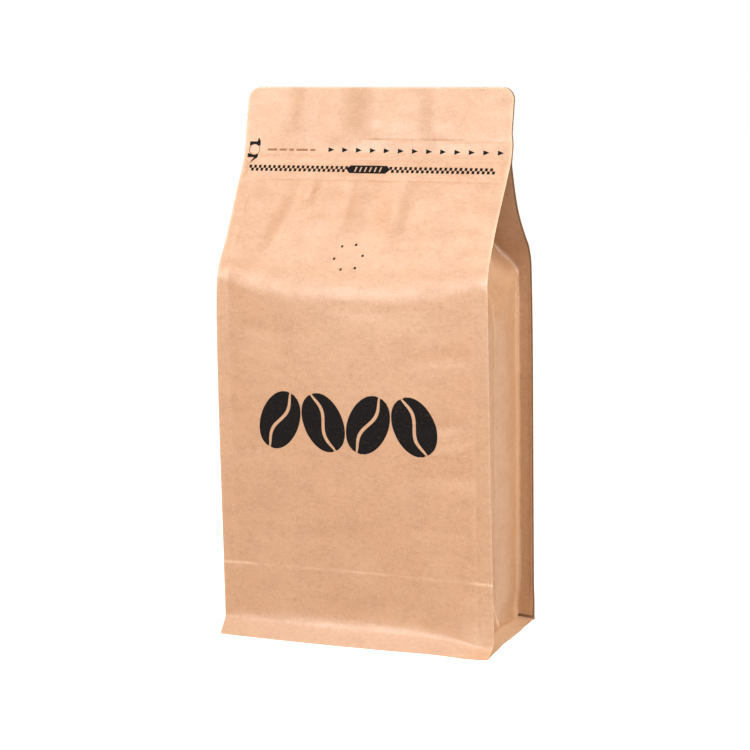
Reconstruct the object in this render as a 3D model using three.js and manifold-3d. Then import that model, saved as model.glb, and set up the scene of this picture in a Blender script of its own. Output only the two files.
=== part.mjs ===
// A shut, filled coffee bag of kraft paper with a flat bottom and two side gussets.
// Millimetres, +Z up. The bag stands on the plane z = 0 with its printed front towards -Y,
// and the origin is the middle of its foot.
import * as THREE from 'three';
import { mergeVertices } from 'three/addons/utils/BufferGeometryUtils.js';
import Module from 'manifold-3d';

// Driving dimensions, in millimetres unless the name says otherwise.
const WIDTH = 135; // over the fins at the foot
const DEPTH = 67; // front fin to back fin at the foot
const HEIGHT = 261; // foot to top edge
const FIN = 7; // width of the sealed fin on each upright corner
const PLY = 0.9; // fin thickness, front paper and gusset paper together
const ROOF_PLY = 1.6; // roof panel with the gusset paper folded against it
const SHOULDER = 173; // height at which the contents end and the roof starts
const RIDGE = 226; // height at which front and back meet, at the zip
const TOP_CORNER_RADIUS = 6;
const FORWARD_LEAN = 6; // the front fins at the shoulder, ahead of the foot
const BACK_LEAN = 0.9; // the back fins at the shoulder, ahead of the foot
const FRONT_BULGE = 4; // middle of the front panel, ahead of its fins
const BACK_BULGE = 5;
const ROOF_PUFF = 1.2; // swell of both roof panels between shoulder and zip
const FRONT_ROOF_SLOPE = 0.69; // depth lost for each millimetre of height
const BACK_ROOF_SLOPE = 0.8;
const BACK_ROOF_SAG = 4; // how far the back roof hangs below a straight line
const LIP_OFFSET = 4.4; // the lip at the ridge, ahead of the middle of the foot
const LIP_LEAN = 0.24; // the lip leans back by this much for each millimetre
const LIP_THICKNESS = 1.5; // four papers at the sides of the lip
const GABLE_REACH = 35; // how far the gusset folds in under the lip
const GUSSET_ROUND = 1; // swell of the gusset beside its fins
const GUSSET_DIP = 2; // hollow along the gusset's middle fold
const FLANGE_HEIGHT = 6.5; // seal round the foot, at front and back
const FLANGE_REACH = 4.5;
const SIDE_FLANGE_HEIGHT = 4; // the same seal at the two sides
const FLANGE_EDGE = 0.9;
const FOLD_HEIGHT = 34; // crease across the front panel
const FOLD_DEPTH = 0.35;
const EMBOSS_DEPTH = 0.35; // pressed lines of the zip and the tear strip
const EMBOSS_HEIGHTS = [218.6, 227.3, 236.3];

const GUSSET_ROOT = WIDTH / 2 - FIN;
const FRONT = -1;
const BACK = 1;
const PAPER = { color: 0xd9a578, roughness: 0.85, metalness: 0 };

// Dents under the zip: position across, height, half sizes, turn in degrees and depth.
const FRONT_DENTS = [
  { x: -26, z: 214, wide: 4, tall: 7, turn: 0, depth: 1.4 },
  { x: -44, z: 209, wide: 3.5, tall: 8, turn: 35, depth: 1.2 },
  { x: -1, z: 211, wide: 3.5, tall: 8, turn: 0, depth: 1 },
  { x: 25, z: 203, wide: 4.5, tall: 15, turn: -6, depth: 1.3 },
];
// Waves of the thin lip: each is a step across the lip, gentle on its left side.
const LIP_WAVES = [
  { x: -40, step: 0.7, half: 3 },
  { x: -8, step: 1.3, half: 3.5 },
  { x: 25, step: 0.9, half: 3 },
  { x: 55, step: 0.5, half: 3 },
];

const clamp01 = (t) => Math.min(Math.max(t, 0), 1);
const smoothStep = (from, to, t) => {
  const s = clamp01((t - from) / (to - from));
  return s * s * (3 - 2 * s);
};
const bell = (distance, half) => Math.exp(-((distance / half) ** 2));
// The lesser of two numbers, with the corner where they cross rounded over a stretch.
const softMin = (a, b, stretch) => {
  const near = Math.max(0, 1 - Math.abs(a - b) / stretch);
  return Math.min(a, b) - (stretch / 4) * near * near;
};
const softMax = (a, b, stretch) => -softMin(-a, -b, stretch);

// Half the width over the fins: widest at the foot, drawn in a little at the roof,
// with the two top corners cut round.
function halfWidth(z) {
  const taper = 0.95 * Math.max(0, 1 - z / 150);
  const waist = 0.7 * bell(z - 190, 22);
  const side = WIDTH / 2 - 0.35 + taper - waist;
  const intoCorner = Math.max(0, z - (HEIGHT - TOP_CORNER_RADIUS));
  const corner = TOP_CORNER_RADIUS - Math.sqrt(TOP_CORNER_RADIUS ** 2 - intoCorner ** 2);
  return side - corner;
}

// Middle of the thin lip, measured towards the front.
function lipMiddle(x, z) {
  const waves = LIP_WAVES.reduce(
    (sum, wave) => sum + wave.step * (x / WIDTH - 0.5 * Math.tanh((x - wave.x) / wave.half)),
    0,
  );
  const lean = LIP_LEAN * Math.max(0, z - RIDGE);
  return LIP_OFFSET - lean + waves * smoothStep(236, 246, z);
}

function dents(x, z) {
  return FRONT_DENTS.reduce((sum, dent) => {
    const turn = THREE.MathUtils.degToRad(dent.turn);
    const across = (x - dent.x) * Math.cos(turn) - (z - dent.z) * Math.sin(turn);
    const along = (x - dent.x) * Math.sin(turn) + (z - dent.z) * Math.cos(turn);
    return sum + dent.depth * bell(across, dent.wide) * bell(along, dent.tall);
  }, 0);
}

// How far the front or back panel lies from the middle plane at a place on it: the filled body,
// the sloping roof and the lip, each rounded into the next.
function panelDepth(side, x, z) {
  const inset = 1 - Math.min(1, Math.abs(x) / GUSSET_ROOT) ** 2;
  const rise = clamp01(z / SHOULDER);
  const lip = lipMiddle(x, z);
  const half = LIP_THICKNESS / 2;
  const puff = ROOF_PUFF * inset * Math.sin(Math.PI * clamp01((z - SHOULDER) / (RIDGE - SHOULDER)));
  if (side === FRONT) {
    const lean = FORWARD_LEAN * Math.sin((Math.PI / 2) * rise) ** 1.3;
    const body = DEPTH / 2 + lean + FRONT_BULGE * inset;
    const roof = LIP_OFFSET + 1.2 + FRONT_ROOF_SLOPE * (RIDGE + 0.5 - z) + puff - dents(x, z);
    return softMax(softMin(body, roof, 7), lip + half, 1.2);
  }
  const body = DEPTH / 2 - BACK_LEAN * rise + BACK_BULGE * inset;
  const sag = BACK_ROOF_SAG * Math.sin(Math.PI * clamp01((RIDGE - z) / 40));
  const roof = half - LIP_OFFSET + BACK_ROOF_SLOPE * (RIDGE - z) - sag + puff;
  return softMax(softMin(body, roof, 5), half - lip, 1.2);
}

// The seal round the foot flares outwards down to the ground.
function flare(z) {
  return FLANGE_REACH * Math.max(0, 1 - z / FLANGE_HEIGHT);
}

// Pressed lines stand in from the surface by this much.
function pressedLines(x, z) {
  const fold = FOLD_DEPTH * bell(z - FOLD_HEIGHT, 0.8);
  const inside = 1 - smoothStep(58, 64, Math.abs(x));
  return fold + EMBOSS_HEIGHTS.reduce(
    (sum, height) => sum + EMBOSS_DEPTH * inside * bell(z - height, 0.6),
    0,
  );
}

function panelPoint(side, x, z) {
  const relief = side === FRONT ? pressedLines(x, z) : 0;
  return [x, side * (panelDepth(side, x, z) + flare(z) - relief), z];
}

// A closed solid skinned over rings that all have the same number of points. Points that meet
// are merged, and triangles that this flattens to a line are dropped.
function loft(rings) {
  const count = rings[0].length;
  const triangles = [];
  for (let level = 0; level + 1 < rings.length; level += 1) {
    for (let i = 0; i < count; i += 1) {
      const next = (i + 1) % count;
      const [a, b] = [rings[level][i], rings[level][next]];
      const [c, d] = [rings[level + 1][next], rings[level + 1][i]];
      triangles.push([a, b, c], [a, c, d]);
    }
  }
  const cap = (ring, faceUp) => {
    const outline = ring.map(([x, y]) => new THREE.Vector2(x, y));
    THREE.ShapeUtils.triangulateShape(outline, []).forEach(([i, j, k]) => {
      triangles.push(faceUp ? [ring[i], ring[j], ring[k]] : [ring[k], ring[j], ring[i]]);
    });
  };
  cap(rings[0], false);
  cap(rings[rings.length - 1], true);
  const geometry = new THREE.BufferGeometry();
  geometry.setAttribute('position', new THREE.Float32BufferAttribute(triangles.flat(2), 3));
  const merged = mergeVertices(geometry, 1e-5);
  const index = Array.from(merged.index.array);
  const kept = [];
  for (let i = 0; i < index.length; i += 3) {
    const [a, b, c] = index.slice(i, i + 3);
    if (a !== b && b !== c && c !== a) kept.push(a, b, c);
  }
  merged.setIndex(kept);
  return merged;
}

function steps(from, to, count) {
  return Array.from({ length: count + 1 }, (_, i) => from + ((to - from) * i) / count);
}

// The whole outline of the bag without its gusset pockets: a ring at each height, front panel
// from left to right and then back panel from right to left.
function envelope() {
  const emboss = EMBOSS_HEIGHTS.flatMap((height) => [height - 0.9, height, height + 0.9]);
  const crease = [FOLD_HEIGHT - 1.2, FOLD_HEIGHT, FOLD_HEIGHT + 1.2];
  const cornerTurns = steps(0, Math.PI / 2, 4).slice(1);
  const heights = [
    0,
    ...steps(FLANGE_HEIGHT, FOLD_HEIGHT - 4, 2),
    ...crease,
    ...steps(FOLD_HEIGHT + 6, SHOULDER - 9, 6),
    ...steps(SHOULDER - 5, SHOULDER + 11, 5),
    ...steps(SHOULDER + 17, 213, 4),
    ...emboss,
    RIDGE - 3,
    ...steps(240, HEIGHT - TOP_CORNER_RADIUS, 3),
    ...cornerTurns.map((turn) => HEIGHT - TOP_CORNER_RADIUS * (1 - Math.sin(turn))),
  ].sort((a, b) => a - b);
  const root = GUSSET_ROOT / (WIDTH / 2);
  const across = [-1, ...steps(-root, root, 26), 1];
  const rings = heights.map((z) => {
    const half = halfWidth(z);
    const front = across.map((u) => panelPoint(FRONT, u * half, z));
    const back = across.map((u) => panelPoint(BACK, u * half, z)).reverse();
    return [...front, ...back];
  });
  return loft(rings);
}

// The space that one gusset leaves open between the fins: an upright channel as deep as the
// fins, and above the shoulder the folded gable. There the gusset leans in as far as the roof
// panels close, which is how flat paper folds, so the pocket deepens while it narrows.
function gussetPocket(side) {
  const beyond = WIDTH / 2 + 12;
  const wallParts = 8;
  const flankParts = 4;
  const top = RIDGE - 2.2;
  const reachAt = (z) => softMax(0, GABLE_REACH * ((z - SHOULDER) / (RIDGE - SHOULDER)), 3);
  const thickness = (x) => (x < GUSSET_ROOT - 0.5 ? ROOF_PLY : PLY);
  const limit = (panel, x, z) => panel * (panelDepth(panel, x, z) - thickness(x));
  const ringAt = (z, slopedFoot) => {
    const reach = z < SHOULDER - 6 ? 0 : reachAt(z);
    const crease = GUSSET_ROOT - reach;
    const flank = steps(GUSSET_ROOT, crease, flankParts);
    const xs = [beyond, ...flank];
    const front = xs.map((x) => [x, limit(FRONT, x, z)]);
    const back = xs.map((x) => [x, limit(BACK, x, z)]).reverse();
    const lowered = 1 - smoothStep(SHOULDER - 15, SHOULDER + 5, z);
    const wall = steps(0, 1, wallParts).slice(1, -1).map((t) => {
      const swell = GUSSET_ROUND * Math.abs(Math.sin(2 * Math.PI * t));
      const dip = GUSSET_DIP * Math.sin(Math.PI * t) ** 2;
      const y = THREE.MathUtils.lerp(limit(FRONT, crease, z), limit(BACK, crease, z), t);
      return [crease + (swell - dip) * lowered, y];
    });
    const footSlope = (SIDE_FLANGE_HEIGHT - FLANGE_EDGE) / FIN;
    const ring = [...front, ...wall, ...back];
    return ring.map(([x, y]) => {
      const foot = SIDE_FLANGE_HEIGHT - footSlope * (x - GUSSET_ROOT);
      return [side * x, y, slopedFoot ? foot : z];
    });
  };
  const heights = [
    ...steps(SIDE_FLANGE_HEIGHT + 5, SHOULDER - 12, 6),
    ...steps(SHOULDER - 6, SHOULDER + 12, 6),
    ...steps(SHOULDER + 18, top, 7),
  ];
  const rings = [ringAt(SIDE_FLANGE_HEIGHT, true), ...heights.map((z) => ringAt(z, false))];
  // Front to back reads clockwise from above on the right side, so its rings are turned over.
  return loft(side > 0 ? rings.map((ring) => [...ring].reverse()) : rings);
}

const wasm = await Module();
wasm.setup();

function toSolid(geometry) {
  return new wasm.Manifold(new wasm.Mesh({
    numProp: 3,
    vertProperties: Float32Array.from(geometry.attributes.position.array),
    triVerts: Uint32Array.from(geometry.index.array),
  }));
}

function toGeometry(solid) {
  const { vertProperties, triVerts } = solid.getMesh();
  const geometry = new THREE.BufferGeometry();
  geometry.setAttribute('position', new THREE.BufferAttribute(vertProperties, 3));
  geometry.setIndex(new THREE.BufferAttribute(triVerts, 1));
  geometry.computeVertexNormals();
  return geometry;
}

function makeBag() {
  const pockets = toSolid(gussetPocket(-1)).add(toSolid(gussetPocket(1)));
  const bag = new THREE.Mesh(
    toGeometry(toSolid(envelope()).subtract(pockets)),
    new THREE.MeshStandardMaterial(PAPER),
  );
  bag.name = 'bag';
  return bag;
}

const coffeeBag = new THREE.Group();
coffeeBag.add(makeBag());
export default coffeeBag;
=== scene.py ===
import math

import bpy
import numpy as np
from bpy.props import FloatProperty, FloatVectorProperty, IntProperty, PointerProperty
from mathutils import Matrix, Vector


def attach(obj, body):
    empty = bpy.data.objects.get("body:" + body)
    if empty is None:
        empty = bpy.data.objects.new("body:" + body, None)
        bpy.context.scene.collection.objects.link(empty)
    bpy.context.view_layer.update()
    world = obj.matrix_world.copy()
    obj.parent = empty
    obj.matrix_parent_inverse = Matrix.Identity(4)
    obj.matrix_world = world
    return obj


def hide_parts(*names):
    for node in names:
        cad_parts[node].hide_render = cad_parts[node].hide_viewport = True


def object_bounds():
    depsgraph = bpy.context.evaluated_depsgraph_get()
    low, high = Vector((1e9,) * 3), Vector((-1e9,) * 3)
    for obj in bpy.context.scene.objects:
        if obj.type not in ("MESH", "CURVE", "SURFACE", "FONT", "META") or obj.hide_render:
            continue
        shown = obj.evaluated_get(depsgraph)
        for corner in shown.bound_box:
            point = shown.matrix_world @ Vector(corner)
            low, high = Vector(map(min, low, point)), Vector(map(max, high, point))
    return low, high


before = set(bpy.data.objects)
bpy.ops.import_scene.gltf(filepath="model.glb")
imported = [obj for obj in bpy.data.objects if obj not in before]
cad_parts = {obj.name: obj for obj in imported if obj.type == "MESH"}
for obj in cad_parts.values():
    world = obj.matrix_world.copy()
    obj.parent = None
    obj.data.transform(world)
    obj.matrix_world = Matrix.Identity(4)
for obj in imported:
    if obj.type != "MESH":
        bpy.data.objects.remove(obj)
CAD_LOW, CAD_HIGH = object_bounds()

bl_info = {
    "name": "Kraft Coffee Bag",
    "version": (1, 0, 0),
    "blender": (4, 5, 0),
    "location": "3D View > Sidebar > Coffee Bag",
    "description": "Builds a shut, filled coffee bag of kraft paper, panel by panel",
    "category": "Add Mesh",
}

MM = 0.001
NODE = "bag"
FRONT = -1
BACK = 1


def linear(code):
    """An sRGB hex colour as linear light, with full alpha."""
    values = [int(code[i:i + 2], 16) / 255 for i in (1, 3, 5)]
    return tuple(v / 12.92 if v <= 0.04045 else ((v + 0.055) / 1.055) ** 2.4 for v in values) + (1.0,)


# ---------------------------------------------------------------- sizes and colours

class BagSizes(bpy.types.PropertyGroup):
    """Millimetres on the bag; the height comes from the frame."""

    width: FloatProperty(name="Width", description="Over the side fins, at the foot", default=135.0)
    depth: FloatProperty(name="Depth", description="Front fin to back fin, at the foot", default=67.0)
    height: FloatProperty(
        name="Height", description="Foot to top edge", default=round((CAD_HIGH.z - CAD_LOW.z) / MM, 1))
    fin: FloatProperty(name="Fin", description="Width of the sealed fin on each corner", default=7.0)
    shoulder: FloatProperty(name="Shoulder", description="Height where the contents end", default=173.0)
    ridge: FloatProperty(name="Ridge", description="Height where front and back meet", default=226.0)
    corner: FloatProperty(name="Corner", description="Radius of the two top corners", default=6.0)
    paper: FloatProperty(name="Paper", description="Thickness of one layer", default=0.34)
    gusset_half: FloatProperty(
        name="Half gusset", description="Paper from the gusset's middle fold to its fin", default=36.0)
    gable_reach: FloatProperty(name="Gable reach", description="How far the gusset folds in", default=31.0)
    gable_slope: FloatProperty(
        name="Gable slope", description="How far the gusset's triangle leans in for each mm up", default=0.6)
    fold_height: FloatProperty(name="Fold", description="Height of the crease across the front", default=34.0)


def colour(name, description, code):
    """A colour to pick in the sidebar, from its sRGB hex value."""
    return FloatVectorProperty(name=name, description=description, subtype="COLOR", size=4,
                               default=linear(code), min=0.0, max=1.0)


class PaperFinish(bpy.types.PropertyGroup):
    """Colours of the paper and the ink."""

    kraft: colour("Kraft", "Natural brown kraft paper", "#A67955")
    pale_fibre: colour("Pale fibre", "Lighter fibres in the kraft", "#B58D6A")
    dark_fibre: colour("Dark fibre", "Darker fibres in the kraft", "#8F613D")
    # Pale tone of worn folds and edges, also the colour of painted highlights on lit folds, ridges and the
    # foot flange.
    worn_fold_and_highlight: colour("Worn fold", "Kraft where a fold or an edge has roughened it", "#DAB897")
    ink: colour("Ink", "Black print", "#0A0605")
    thin_ink: colour("Thin ink", "The row of dashes, where little ink was laid on", "#84583C")


class PrintSizes(bpy.types.PropertyGroup):
    """Millimetres of the printed marks."""

    arrows: IntProperty(name="Arrows", description="Arrow heads along the tear strip", default=13)
    arrow_pitch: FloatProperty(name="Arrow pitch", description="From one arrow to the next", default=7.0)
    arrow_height: FloatProperty(name="Arrow row", description="Height of the row of arrows", default=231.7)
    checks: IntProperty(name="Checks", description="Pairs of checks along the zip", default=50)
    check_pitch: FloatProperty(name="Check pitch", description="One dark and one bare check", default=2.46)
    check_height: FloatProperty(name="Check row", description="Height of the checked strip", default=222.9)
    beans: IntProperty(name="Beans", description="Beans in the printed row", default=4)
    bean_length: FloatProperty(name="Bean length", description="Length of one bean", default=29.0)
    bean_height: FloatProperty(name="Bean row", description="Height of the row of beans", default=107.0)


class StudioSettings(bpy.types.PropertyGroup):
    """The camera of the reference view."""

    lens: FloatProperty(name="Lens", description="Focal length on a 36 mm sensor", default=97.65)
    azimuth: FloatProperty(
        name="Azimuth", description="Camera, round the bag", subtype="ANGLE", default=math.radians(20.365))
    elevation: FloatProperty(
        name="Elevation", description="Camera, above level", subtype="ANGLE", default=math.radians(8.664))
    roll: FloatProperty(
        name="Roll", description="Camera, about its own axis", subtype="ANGLE", default=math.radians(-0.486))
    place: FloatVectorProperty(
        name="Place", description="Where the camera stands", subtype="TRANSLATION", unit="LENGTH", size=3,
        default=(0.33420, -0.90584, 0.27101))


def sizes():
    """The bag's lengths, as the panel in the sidebar shows them."""
    return bpy.context.scene.bag_sizes


def seal_root():
    """Inner edge of the sealed fins, from the middle plane."""
    s = sizes()
    return s.width / 2 - s.fin


# ---------------------------------------------------------------- the form of the bag

def ramp(start, end, t):
    """Rises from 0 to 1 between start and end, level at both."""
    s = np.clip((t - start) / (end - start), 0, 1)
    return s * s * (3 - 2 * s)


def bell(distance, half):
    """1 at no distance, falling off as the square of the distance over half."""
    return np.exp(-((distance / half) ** 2))


def soft_min(a, b, stretch):
    """The lesser of two numbers, the corner where they cross rounded over a stretch."""
    near = np.clip(1 - np.abs(a - b) / stretch, 0, None)
    return np.minimum(a, b) - stretch / 4 * near * near


def soft_max(a, b, stretch):
    """The greater of two numbers, rounded over in the same way."""
    return -soft_min(-a, -b, stretch)


def turned_bell(u, v, at, wide, tall, turn):
    """A bell on a panel, wide and tall, turned by so many degrees."""
    c, s = math.cos(math.radians(turn)), math.sin(math.radians(turn))
    across = (u - at[0]) * c - (v - at[1]) * s
    along = (u - at[0]) * s + (v - at[1]) * c
    return bell(across, wide) * bell(along, tall)


def dents(rows, u, v):
    """The dents of a list added up: place across and up, half width, half height, turn, depth."""
    return sum(deep * turned_bell(u, v, (at, up), wide, tall, turn)
               for at, up, wide, tall, turn, deep in rows)


def crease_line(u, v, start, end, half):
    """A bell of the distance to a straight line between two points, which fades at both ends."""
    run = np.subtract(end, start)
    length = math.hypot(*run)
    along = ((u - start[0]) * run[0] + (v - start[1]) * run[1]) / length
    off = ((u - start[0]) * run[1] - (v - start[1]) * run[0]) / length
    fade = ramp(-1, 2, along) * ramp(length + 1, length - 2, along)
    return bell(off, half) * fade


def over_line(u, v, start, end):
    """How far a place lies over the line between two points, and how far along it."""
    run = np.subtract(end, start)
    run = run / math.hypot(*run)
    return ((u - start[0]) * run[1] - (v - start[1]) * run[0],
            (u - start[0]) * run[0] + (v - start[1]) * run[1])


def half_width(z):
    """Half the width over the fins: widest at the foot, a little drawn in at the roof, and at
    the top less what the round corners take."""
    s = sizes()
    side = s.width / 2 - 0.35 + 0.95 * np.clip(1 - z / 150, 0, None) - 1.15 * bell(z - 192, 24)
    into_corner = np.clip(z - (s.height - s.corner), 0, s.corner)
    return side - (s.corner - np.sqrt(s.corner ** 2 - into_corner ** 2))


def fin_edge(side, z):
    """Outer edge of a fin: the front fins are cut a hair narrower than the back ones."""
    return half_width(z) + (-0.2 if side == FRONT else 0.35 * ramp(200, 120, z))


# How much further out the front stands at the shoulder than at the foot, and how far the middle
# of each large panel swells.
FRONT_LEAN = 6.0
FRONT_BELLY = 4.0
BACK_BELLY = 5.0
# The roofs: depth lost for each mm up, and how far their middles puff out.
FRONT_ROOF_SLOPE = 0.69
BACK_ROOF_SLOPE = 0.8
ROOF_PUFF = 1.2
# The lip: how far forward it starts, and how far it leans back for each mm up.
LIP_FORWARD = 4.4
LIP_LEAN = 0.24
# Waves of the lip: place across, height of the step and its half width. The lip steps back by
# it to the right, or forward where it is below zero, and recovers evenly over the width.
LIP_WAVES = (
    (-55, 0.8, 4.0), (-41, -1.3, 4.0), (-26, 1.5, 4.0), (-11, -4.2, 8.5), (5, 1.9, 5.0), (24, -1.3, 3.5),
    (33, 0.8, 4.0), (45, 1.2, 5.0),
)
# Dents under the zip: place across, height, half width, half height, turn and depth. Below
# zero is a swell.
FRONT_DENTS = (
    (-38, 198, 4.6, 17.0, 21, -0.7),
    (-29, 212, 3.2, 7.0, 4, 0.8),
    (-9, 207, 4.2, 13.0, 0, 0.8),
    (4, 200, 5.0, 12.0, 0, -0.6),
    (16, 204, 5.5, 13.0, 3, 1.2),
    (36, 198, 5.5, 14.0, -10, 0.6),
)
# Soft puckers that run in from the side seals: the same six numbers.
FRONT_PUCKERS = (
    (-52, 150, 20, 3.2, 4, 0.35), (-56, 136, 14, 3.0, -3, -0.3), (-50, 92, 18, 3.5, 3, 0.3),
    (-54, 62, 16, 3.0, -4, 0.3), (52, 140, 20, 3.4, -5, 0.35), (48, 108, 22, 3.2, -8, 0.45),
    (52, 96, 18, 2.8, -10, -0.4), (50, 84, 20, 3.2, -6, 0.4), (54, 58, 16, 3.0, 5, 0.3),
    (12, 160, 24, 5.0, 3, 0.35), (-14, 52, 26, 5.0, -2, 0.3), (20, 20, 22, 4.0, 2, 0.3),
)
BACK_PUCKERS = (
    (50, 150, 22, 3.5, 5, 0.5), (-52, 138, 20, 3.5, -6, 0.45), (48, 96, 20, 3.2, -5, 0.4),
    (-50, 78, 20, 3.4, 6, 0.4), (10, 60, 26, 5.0, 3, 0.4), (-8, 206, 5, 14.0, 4, 0.9),
    (24, 204, 5, 12.0, -6, 0.8), (-24, 208, 4, 11.0, 8, 0.7),
)
# The gusset's hollows, by paper across (back above zero) and height: the same six numbers.
GUSSET_HOLLOWS = (
    (12, 146, 10.0, 5.0, 32, -0.5), (-8, 120, 12.0, 6.0, 10, 0.5),
    (10, 84, 14.0, 6.0, -8, 0.5), (-4, 52, 12.0, 5.0, 12, 0.4), (16, 30, 9.0, 5.0, 20, -0.4),
)
# Sharp creases of the gusset: two ends (paper across, height), half width and height. Each is
# also painted pale along its line, as a painted highlight.
GUSSET_CREASES = (
    ((-4, 185), (2.6, 170), 0.9, 0.6),
    ((-15, 25), (3.7, 3.4), 0.8, 0.5),
)
# The ridge that runs down and forwards from the gusset's corner: its two ends, and how much
# the paper over it leans in.
GUSSET_RIDGE = ((33, 171), (-2, 149), 0.28)
# Pressed lines of the zip and the tear strip: height, where each starts and ends across.
PRESSED_LINES = ((218.2, -59.5, 64.0), (227.0, -24.0, 62.0), (236.3, -10.0, 64.5))


def lip_middle(x, z):
    """Middle of the thin lip, towards the front: it leans back above the ridge, in waves."""
    s = sizes()
    waves = sum(step * (x / s.width - 0.5 * np.tanh((x - at) / half)) for at, step, half in LIP_WAVES)
    return LIP_FORWARD - LIP_LEAN * np.clip(z - s.ridge, 0, None) + waves * ramp(230, 246, z)


def panel_depth(side, x, z):
    """How far a panel lies from the middle plane: the filled body, the sloping roof and the lip,
    each rounded into the next. The body swells between its side seals."""
    s = sizes()
    inset = 1 - np.clip(np.abs(x) / seal_root(), 0, 1) ** 2
    rise = np.clip(z / s.shoulder, 0, 1)
    lip = lip_middle(x, z)
    half = 0.42 + 0.33 * ramp(25, 32, np.abs(x))
    above = np.clip((z - s.shoulder) / (s.ridge - s.shoulder), 0, 1)
    puff = ROOF_PUFF * inset * np.sin(np.pi * above)
    if side == FRONT:
        belly = FRONT_BELLY * inset * ramp(-30, 75, z)
        body = s.depth / 2 + FRONT_LEAN * np.sin(np.pi / 2 * rise) ** 1.3 + belly
        roof = LIP_FORWARD + 1.2 + FRONT_ROOF_SLOPE * (s.ridge + 0.5 - z) + puff - dents(FRONT_DENTS, x, z)
        bend = 7 - 2.5 * ramp(36, 64, np.abs(x))
        return soft_max(soft_min(body, roof, bend), lip + half, 1.2)
    body = s.depth / 2 - 0.9 * rise + BACK_BELLY * inset
    sag = 4 * np.sin(np.pi * np.clip((s.ridge - z) / 40, 0, 1))
    roof = 0.75 - LIP_FORWARD + BACK_ROOF_SLOPE * (s.ridge - z) - sag + puff
    return soft_max(soft_min(body, roof, 5), half - lip, 1.2)


def flare(side, x, z):
    """The seal round the foot turns outwards down to the ground: straight at first and then
    bent back over a stretch, short at the corners and wide in the middle of the front. At the
    back it dies out towards the corners."""
    if side == FRONT:
        middle = np.clip(1 - np.abs((x + 6) / 64) ** 3, 0, 1)
        straight = 6.4 - 2.2 * ramp(20, 62, x) + 0.9 * ramp(-44, -62, x)
        bend = 0.8 + 11 * middle
        slope = 0.62 + 0.22 * ramp(30, 62, x)
    else:
        straight, bend = 5.6, 1.2
        slope = 0.72 * (1 - 0.9 * ramp(40, 66, np.abs(x)))
    s = np.clip((z - straight) / bend, 0, 1)
    return slope * (np.clip(straight - z, 0, None) + bend * (1 - s) ** 3 / 3)


def seam_puckers(x, z):
    """Fine gathers beside the side seals, fading out over the first centimetre of the panel."""
    inward = np.clip(seal_root() - np.abs(x), 0, None)
    waves = np.sin(z / 2.9 + np.sign(x)) + 0.7 * np.sin(z / 1.9 + 2.1 * np.sign(x)) * np.sin(z / 17)
    return 0.08 * waves * bell(inward - 3, 5) * ramp(0, 1.5, inward)


def fold_line(x):
    """Height of the crease across the front, a shallow arch."""
    return sizes().fold_height + 1.9 - 0.0003 * (x + 14) ** 2


def fine_relief(side, x, z):
    """What stands in or out by less than a millimetre: the side seals' edge, the gathers beside
    them, the puckers, the crease across the front and the pressed lines of the zip."""
    root = seal_root()
    puckers = dents(FRONT_PUCKERS if side == FRONT else BACK_PUCKERS, x, z)
    relief = -puckers * ramp(root, root - 6, np.abs(x)) + seam_puckers(x, z)
    seal_edge = 0.09 if side == FRONT else 0.16
    relief -= seal_edge * bell(np.abs(x) - root, 0.7) * ramp(3, 10, z) * ramp(222, 210, z)
    if side == FRONT:
        strength = 0.6 + 0.4 * np.cos((x + 66) / 11.0)
        relief += 0.17 * strength * ramp(0.7, -0.6, z - fold_line(x)) * ramp(12, 30, z)
        zip_band = ramp(218.3, 218.9, z) - ramp(227.0, 227.6, z)
        relief += 0.2 * zip_band * ramp(64.5, 63, np.abs(x))
        for height, start, end in PRESSED_LINES:
            along = ramp(start, start + 12, x) - ramp(end - 3, end, x)
            relief -= 0.18 * along * bell(z - height, 0.5)
    return relief


def settle(points):
    """Last shifts that every piece shares. The lip stands half a millimetre to the right with
    its right edge drawn in, and the bag's upper half hangs up to a millimetre lower on the
    right. The right front edge leans forwards over its last 35 mm. The foot seal's front corners
    are skewed to the left, and it is pinched behind the right one. The back fins' outer edges
    curl forwards."""
    x, y, z = points[..., 0], points[..., 1], points[..., 2]
    foot = np.clip(1 - z / 6.5, 0, 1)
    ahead = ramp(-18, -36, y)
    lean = 4.2 * np.clip(1 - z / 35, 0, 1) ** 2 * ahead * bell(x - 60, 14)
    corners = np.clip(np.abs(x) / 67, 0, 1) ** 6 * np.where(x > 0, 1.9, 0.8)
    pinch = 0.45 * ramp(-40, -20, y) * ramp(40, 25, y) + 1.1 * bell(y + 14, 15)
    shift = 0.45 * ramp(170, 236, z) + 0.35 * bell(z - 186, 16) + 0.36 * lean
    shift = shift - corners * foot * ahead - pinch * foot * ramp(58, 66, x)
    shift = shift - 0.9 * ramp(234, 241, z) * np.clip(x / 66, 0, 1) ** 8
    curl = 0.8 * ramp(65.0, 68.2, np.abs(x)) * ramp(4, 10, y) * ramp(8, 20, z)
    curl = curl * ramp(215, 195, z)
    sag = 0.35 * np.clip(1 + x / 67, 0, None) * ramp(120, 225, z)
    return np.stack([x + shift, y - lean - curl, z - sag], axis=-1)


def panel_surface(side, x, z):
    """The outer face of the front or back panel: depth, flare and fine relief added up."""
    y = side * (panel_depth(side, x, z) + flare(side, x, z) + fine_relief(side, x, z))
    return settle(np.stack([x, y, z + 0 * x], axis=-1))


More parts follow.
